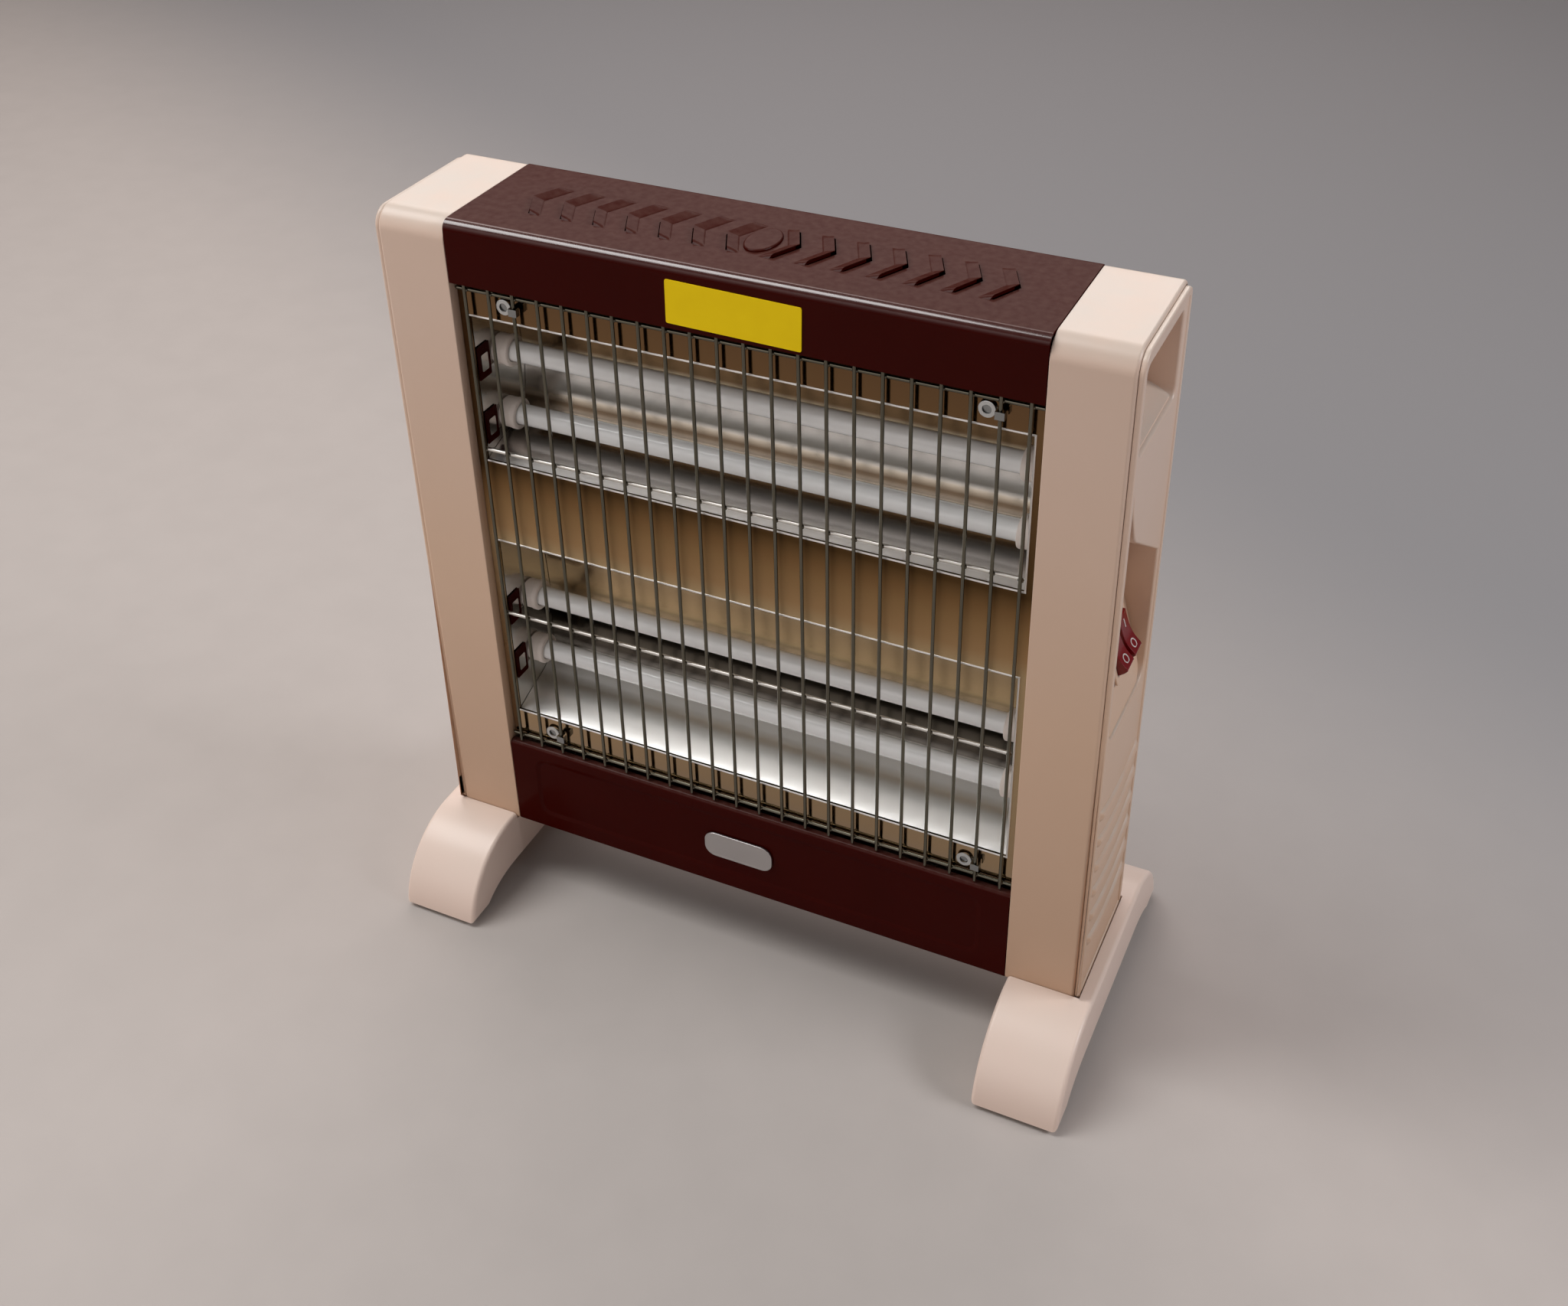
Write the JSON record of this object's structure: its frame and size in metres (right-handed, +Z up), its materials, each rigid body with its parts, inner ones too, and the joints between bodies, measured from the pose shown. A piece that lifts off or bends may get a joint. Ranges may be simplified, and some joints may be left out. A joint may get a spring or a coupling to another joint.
{
  "type": "halogen heater",
  "caption": "Free-standing radiant heater: quartz tubes in reflector bays behind a wire grille, steel body between plastic side shells, arched feet and rocker switches.",
  "frame": {"origin": "on the floor, under the middle of the body", "axes": "+X to the side that carries the switches, -Y out of the grille, +Z up"},
  "size_m": [0.426, 0.2, 0.4529],
  "materials": {
    "cream_plastic": "smooth semi-gloss moulding, warm cream",
    "foot_plastic": "smooth semi-gloss moulding, pinkish cream",
    "maroon_enamel": "smooth gloss enamel on folded sheet steel, dark maroon",
    "bronzed_steel": "polished sheet with a bronze tint",
    "bright_steel": "polished stainless reflector sheet, faint draw marks",
    "chrome_wire": "bright plated round wire",
    "milky_quartz": "translucent white fused quartz",
    "ceramic": "unglazed cream steatite",
    "heating_alloy": "dark oxidised resistance alloy",
    "red_plastic": "glossy dark red with white O marks",
    "black_plastic": "satin black moulding",
    "rubber": "dull black rubber",
    "zinc_plate": "zinc-plated steel",
    "yellow_foil": "plain yellow film, blank",
    "silver_foil": "plain satin silver plate, blank",
    "wire_sheath": "braided heat-resistant sleeving"
  },
  "bodies": {
    "heater": {"top_cover": "maroon_enamel", "lower_front_panel": "maroon_enamel", "rear_panel": "maroon_enamel", "reflector_plate": "bronzed_steel", "upper_reflector": "bright_steel", "upper_reflector_end_left": "bright_steel", "upper_reflector_end_right": "bright_steel", "lower_reflector": "bright_steel", "lower_reflector_end_left": "bright_steel", "lower_reflector_end_right": "bright_steel", "quartz_tube_1": "milky_quartz", "heating_element_1": "heating_alloy", "ceramic_holder_1_left": "ceramic", "ceramic_holder_1_right": "ceramic", "quartz_tube_2": "milky_quartz", "heating_element_2": "heating_alloy", "ceramic_holder_2_left": "ceramic", "ceramic_holder_2_right": "ceramic", "quartz_tube_3": "milky_quartz", "heating_element_3": "heating_alloy", "ceramic_holder_3_left": "ceramic", "ceramic_holder_3_right": "ceramic", "quartz_tube_4": "milky_quartz", "heating_element_4": "heating_alloy", "ceramic_holder_4_left": "ceramic", "ceramic_holder_4_right": "ceramic", "grille": "chrome_wire", "grille_clip_top_left": "zinc_plate", "grille_screw_top_left": "zinc_plate", "grille_clip_top_right": "zinc_plate", "grille_screw_top_right": "zinc_plate", "grille_clip_bottom_left": "zinc_plate", "grille_screw_bottom_left": "zinc_plate", "grille_clip_bottom_right": "zinc_plate", "grille_screw_bottom_right": "zinc_plate", "side_shell_left": "cream_plastic", "side_cover_left": "cream_plastic", "foot_left": "foot_plastic", "foot_screw_left_front": "zinc_plate", "foot_pad_left_front": "rubber", "foot_screw_left_rear": "zinc_plate", "foot_pad_left_rear": "rubber", "side_shell_right": "cream_plastic", "side_cover_right": "cream_plastic", "foot_right": "foot_plastic", "foot_screw_right_front": "zinc_plate", "foot_pad_right_front": "rubber", "foot_screw_right_rear": "zinc_plate", "foot_pad_right_rear": "rubber", "switch_block": "black_plastic", "tilt_switch": "black_plastic", "cord_bushing": "black_plastic", "front_sticker": "yellow_foil", "front_badge": "silver_foil", "terminal_block": "cream_plastic", "supply_wires": "wire_sheath", "return_wire": "wire_sheath"},
    "rocker_front": {"rocker_front": "red_plastic"},
    "rocker_rear": {"rocker_rear": "red_plastic"}
  },
  "joints": [
    {"name": "rocker_front_tilt", "type": "hinge", "parent": "heater", "child": "rocker_front", "pos_m": [0.19208, 0.012, 0.25398], "axis": [0, 1, 0], "range_deg": [0, 20]},
    {"name": "rocker_rear_tilt", "type": "hinge", "parent": "heater", "child": "rocker_rear", "pos_m": [0.19208, 0.012, 0.25398], "axis": [0, 1, 0], "range_deg": [0, 20]}
  ]
}
